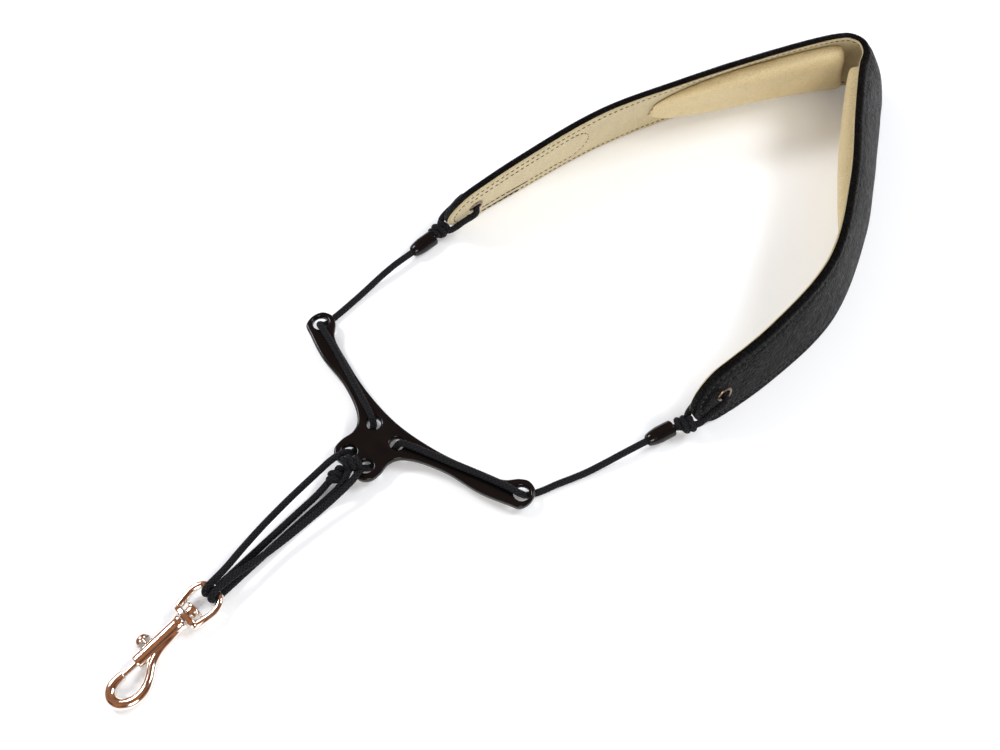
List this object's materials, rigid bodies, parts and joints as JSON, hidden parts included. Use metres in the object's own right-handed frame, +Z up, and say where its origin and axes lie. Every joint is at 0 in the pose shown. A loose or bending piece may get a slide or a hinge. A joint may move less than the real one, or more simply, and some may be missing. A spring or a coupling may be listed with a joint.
{
  "type": "saxophone_neck_strap",
  "caption": "Saxophone neck strap: padded leather band bent round the neck, braided cords crossing on a wing-shaped adjuster plate, and a swivel snap hook with a spring bolt",
  "frame": {"origin": "On the table, under the middle of the strap's outline without its cords", "axes": "+Y from the snap hook towards the back of the neck, +Z up from the table, +X to the right seen from above with the hook nearest"},
  "size_m": [0.162, 0.4388, 0.0426],
  "materials": {
    "black_leather": "black pebbled leather",
    "gold_leather": "champagne gold grained leather",
    "felt": "grey felt interlining",
    "webbing": "black woven webbing",
    "foam": "open-cell foam",
    "eyelet_brass": "antique brass",
    "braid": "black braided cord",
    "black_metal": "glossy black lacquer",
    "rose_gold": "polished rose-gold plate",
    "spring_steel": "bare spring wire"
  },
  "bodies": {
    "neck_band": {"outer_leather": "black_leather", "lining": "gold_leather", "felt_core": "felt", "left_webbing": "webbing", "right_webbing": "webbing", "left_cushion_cover": "gold_leather", "left_cushion_foam": "foam", "right_cushion_cover": "gold_leather", "right_cushion_foam": "foam", "left_eyelet": "eyelet_brass", "left_eyelet_washer": "eyelet_brass", "right_eyelet": "eyelet_brass", "right_eyelet_washer": "eyelet_brass", "left_eyelet_loop": "braid", "right_eyelet_loop": "braid", "left_pad_knot": "braid", "right_pad_knot": "braid", "left_pad_cord": "braid", "right_pad_cord": "braid"},
    "left_sleeve": {"left_sleeve": "black_metal"},
    "right_sleeve": {"right_sleeve": "black_metal"},
    "adjuster": {"adjuster_plate": "black_metal", "left_wing_cord": "braid", "right_wing_cord": "braid", "left_end_knot": "braid", "right_end_knot": "braid", "left_upper_strand": "braid", "right_upper_strand": "braid", "left_lower_strand": "braid", "right_lower_strand": "braid"},
    "cord_loops": {"left_bight": "braid", "right_bight": "braid"},
    "eye": {"swivel_eye": "rose_gold"},
    "hook": {"swivel_post": "rose_gold", "hook_body": "rose_gold", "plunger_spring": "spring_steel"},
    "plunger": {"plunger_bolt": "rose_gold", "thumb_knob": "rose_gold"}
  },
  "joints": [
    {"name": "adjuster_slide", "type": "slide", "parent": "neck_band", "child": "adjuster", "axis": [0, 1, 0], "range_m": [-0.07, 0.02], "deforming": ["left_pad_cord", "right_pad_cord"]},
    {"name": "loop_slide", "type": "slide", "parent": "adjuster", "child": "cord_loops", "axis": [0, -1, 0], "range_m": [-0.035, 0.01], "deforming": ["left_upper_strand", "right_upper_strand", "left_lower_strand", "right_lower_strand"]},
    {"name": "eye_swing", "type": "hinge", "parent": "cord_loops", "child": "eye", "pos_m": [-0.01851, -0.16584, 0.00475], "axis": [1, 0, 0], "range_deg": [-90, 90]},
    {"name": "hook_swivel", "type": "hinge", "parent": "eye", "child": "hook", "pos_m": [-0.01851, -0.17983, 0.00419], "axis": [0, -0.9992, -0.0401], "continuous": true},
    {"name": "plunger_slide", "type": "slide", "parent": "hook", "child": "plunger", "axis": [0, 0.9992, 0.0401], "range_m": [0, 0.0042], "stiffness_N_per_m": 300, "springref_m": -0.003, "deforming": ["plunger_spring"]},
    {"name": "left_sleeve_slide", "type": "slide", "parent": "neck_band", "child": "left_sleeve", "axis": [-0.0837, -0.9965, 0], "range_m": [0, 0.01]},
    {"name": "right_sleeve_slide", "type": "slide", "parent": "neck_band", "child": "right_sleeve", "axis": [-0.3024, -0.9532, 0], "range_m": [0, 0.01]}
  ],
  "couplings": [
    {"joint": "loop_slide", "follows": "adjuster_slide", "ratio": 0.5}
  ]
}
